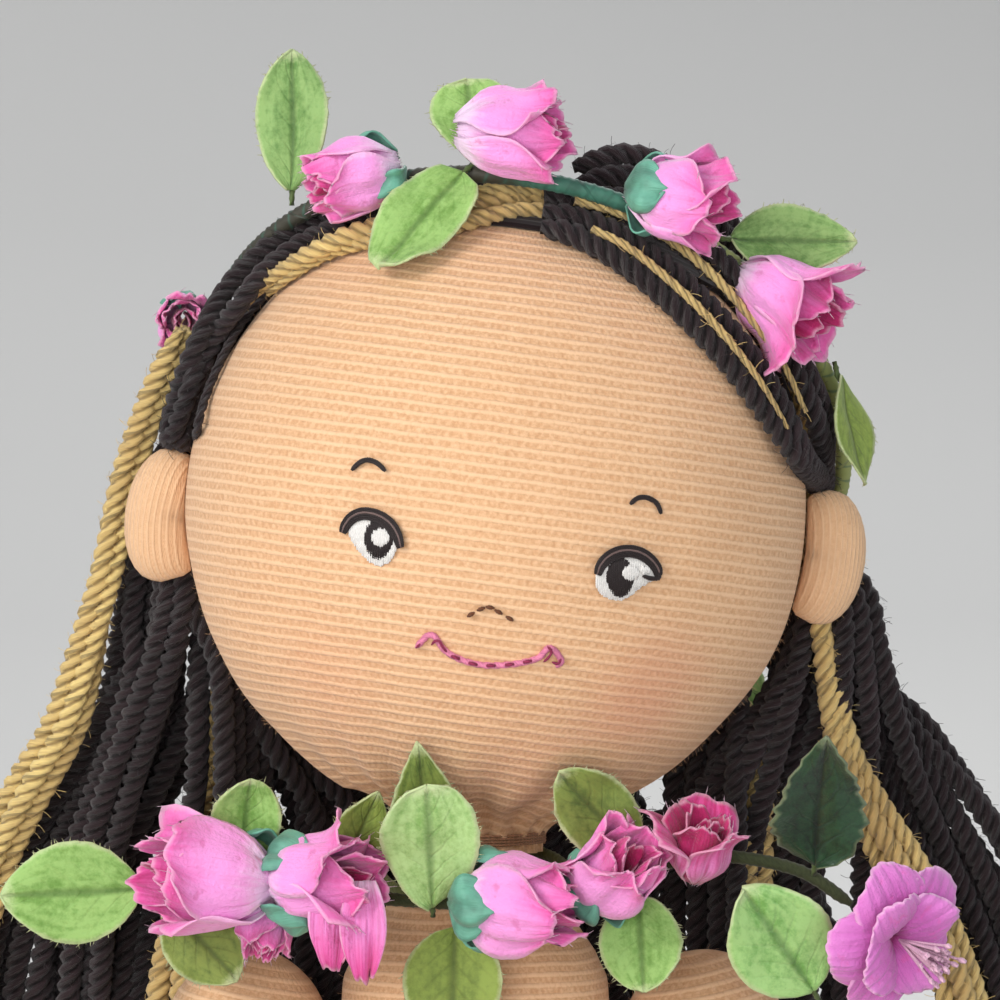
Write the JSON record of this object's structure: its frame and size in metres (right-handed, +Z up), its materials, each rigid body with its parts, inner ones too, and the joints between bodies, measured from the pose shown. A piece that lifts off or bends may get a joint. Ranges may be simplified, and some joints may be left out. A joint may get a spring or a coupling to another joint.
{
  "type": "waldorf doll",
  "caption": "Sitting stuffed knit doll with a round head, plied yarn hair, a flower crown and a flower garland; head, arms and legs turn at their seams.",
  "frame": {"origin": "middle of the front part of the flat underside that the doll sits on, under its neck", "axes": "+Z up along the body, -Y the way the doll faces, +X the doll's left"},
  "size_m": [0.1665, 0.1834, 0.2124],
  "materials": {
    "knit": "fine ribbed cotton stockinette, matt",
    "wool": "carded wool stuffing",
    "thread": "strong cotton thread",
    "dark_yarn": "plied wool yarn, slightly hairy",
    "gold_yarn": "plied wool yarn, slightly hairy",
    "petal_pink": "thin woven petal cloth",
    "petal_magenta": "thin woven petal cloth",
    "leaf_green": "printed leaf cloth with a frayed edge",
    "leaf_olive": "printed leaf cloth with a frayed edge",
    "leaf_gloss": "coated leaf cloth, slightly shiny",
    "band_green": "stem wrapped in blue-green floral tape",
    "garland_cord": "thin twisted cord"
  },
  "bodies": {
    "torso": {"torso_skin": "knit", "torso_stuffing": "wool", "garland_cord": "garland_cord", "garland_stem": "band_green", "garland_rose_1": "petal_pink", "garland_rose_2": "petal_pink", "garland_rose_3": "petal_pink", "garland_rose_4": "petal_pink", "garland_rose_5": "petal_magenta", "garland_bud": "petal_magenta", "garland_leaf_1": "leaf_green", "garland_leaf_2": "leaf_green", "garland_leaf_3": "leaf_olive", "garland_leaf_4": "leaf_green", "garland_leaf_5": "leaf_olive", "garland_leaf_6": "leaf_green", "garland_leaf_7": "leaf_olive", "garland_leaf_8": "leaf_green", "garland_leaf_9": "leaf_olive", "spray_leaf_1": "leaf_olive", "spray_leaf_2": "leaf_gloss", "spray_flower": "petal_magenta"},
    "head": {"head_skin": "knit", "head_core": "wool", "neck_tie": "thread", "ear_left": "knit", "ear_right": "knit", "hair_cap": "dark_yarn", "fringe_left": "dark_yarn", "fringe_right": "dark_yarn", "fringe_gold": "gold_yarn", "lock_gold_right_1": "gold_yarn", "lock_gold_right_2": "gold_yarn", "lock_dark_right_1": "dark_yarn", "lock_dark_right_2": "dark_yarn", "lock_dark_left_1": "dark_yarn", "lock_dark_left_2": "dark_yarn", "lock_gold_left_1": "gold_yarn", "lock_gold_left_2": "gold_yarn", "lock_back_1": "dark_yarn", "lock_back_2": "dark_yarn", "lock_back_3": "dark_yarn"},
    "crown": {"crown_band": "band_green", "crown_rose_1": "petal_pink", "crown_rose_2": "petal_pink", "crown_rose_3": "petal_magenta", "crown_rose_4": "petal_pink", "crown_rose_5": "petal_pink", "crown_bud": "petal_pink", "crown_leaf_1": "leaf_green", "crown_leaf_2": "leaf_green", "crown_leaf_3": "leaf_olive", "crown_leaf_4": "leaf_green", "crown_leaf_5": "leaf_olive", "crown_leaf_6": "leaf_green", "crown_leaf_7": "leaf_green"},
    "arm_left": {"arm_left": "knit"},
    "arm_right": {"arm_right": "knit"},
    "leg_left": {"leg_left": "knit"},
    "leg_right": {"leg_right": "knit"}
  },
  "joints": [
    {"name": "head_turn", "type": "hinge", "parent": "torso", "child": "head", "pos_m": [0, 0, 0.098], "axis": [0, 0, 1], "range_deg": [-30, 30], "deforming": ["lock_gold_right_1", "lock_gold_right_2", "lock_dark_right_1", "lock_dark_right_2", "lock_dark_left_1", "lock_dark_left_2", "lock_gold_left_1", "lock_gold_left_2", "lock_back_1", "lock_back_2", "lock_back_3"]},
    {"name": "crown_lift", "type": "slide", "parent": "head", "child": "crown", "axis": [0.1949, 0.7071, 0.6797], "range_m": [0, 0.06]},
    {"name": "arm_left_raise", "type": "hinge", "parent": "torso", "child": "arm_left", "pos_m": [0.0205, 0, 0.077], "axis": [0, -1, 0], "range_deg": [0, 80]},
    {"name": "arm_right_raise", "type": "hinge", "parent": "torso", "child": "arm_right", "pos_m": [-0.0205, 0, 0.077], "axis": [0, 1, 0], "range_deg": [0, 80]},
    {"name": "leg_left_swing", "type": "hinge", "parent": "torso", "child": "leg_left", "pos_m": [0.015, -0.017, 0.0135], "axis": [1, 0, 0], "range_deg": [-24, 90]},
    {"name": "leg_right_swing", "type": "hinge", "parent": "torso", "child": "leg_right", "pos_m": [-0.015, -0.017, 0.0135], "axis": [1, 0, 0], "range_deg": [-24, 90]}
  ]
}
